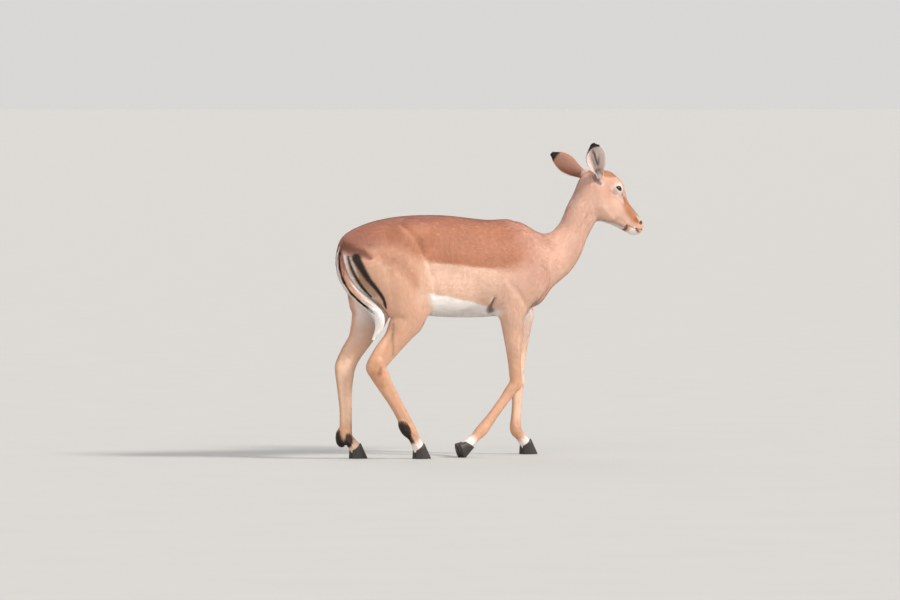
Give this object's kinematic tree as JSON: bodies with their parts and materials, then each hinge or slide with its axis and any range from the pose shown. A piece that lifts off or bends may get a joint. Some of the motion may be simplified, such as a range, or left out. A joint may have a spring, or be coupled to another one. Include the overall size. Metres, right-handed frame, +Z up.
{
  "type": "impala antelope model",
  "caption": "Still, life-size female impala antelope in mid stride, with upright ears, hanging tail and cloven hooves.",
  "frame": {"origin": "on the floor, under the middle of the whole animal's length and width", "axes": "+X forward towards the muzzle, +Y to the animal's left, +Z up"},
  "size_m": [1.3057, 0.3052, 1.1469],
  "materials": {
    "coat": "short sleek hair, reddish brown saddle over tan flanks and white belly",
    "ear": "short hair, pale pink skin inside, black tip",
    "tail_hair": "long white hair with a black line down the middle",
    "hoof": "dark grey horn, satin",
    "eye": "wet, very dark brown"
  },
  "bodies": {
    "root": {"trunk": "coat", "neck": "coat", "head": "coat", "tail": "tail_hair", "ear_right": "ear", "eye_right": "eye", "ear_left": "ear", "eye_left": "eye", "foreleg_right_upper": "coat", "foreleg_right_cannon": "coat", "foreleg_right_pastern": "coat", "hoof_fore_right_inner": "hoof", "hoof_fore_right_outer": "hoof", "foreleg_left_upper": "coat", "foreleg_left_cannon": "coat", "foreleg_left_pastern": "coat", "hoof_fore_left_inner": "hoof", "hoof_fore_left_outer": "hoof", "hindleg_right_upper": "coat", "hindleg_right_cannon": "coat", "hindleg_right_pastern": "coat", "hoof_hind_right_inner": "hoof", "hoof_hind_right_outer": "hoof", "hindleg_left_upper": "coat", "hindleg_left_cannon": "coat", "hindleg_left_pastern": "coat", "hoof_hind_left_inner": "hoof", "hoof_hind_left_outer": "hoof"}
  },
  "joints": []
}
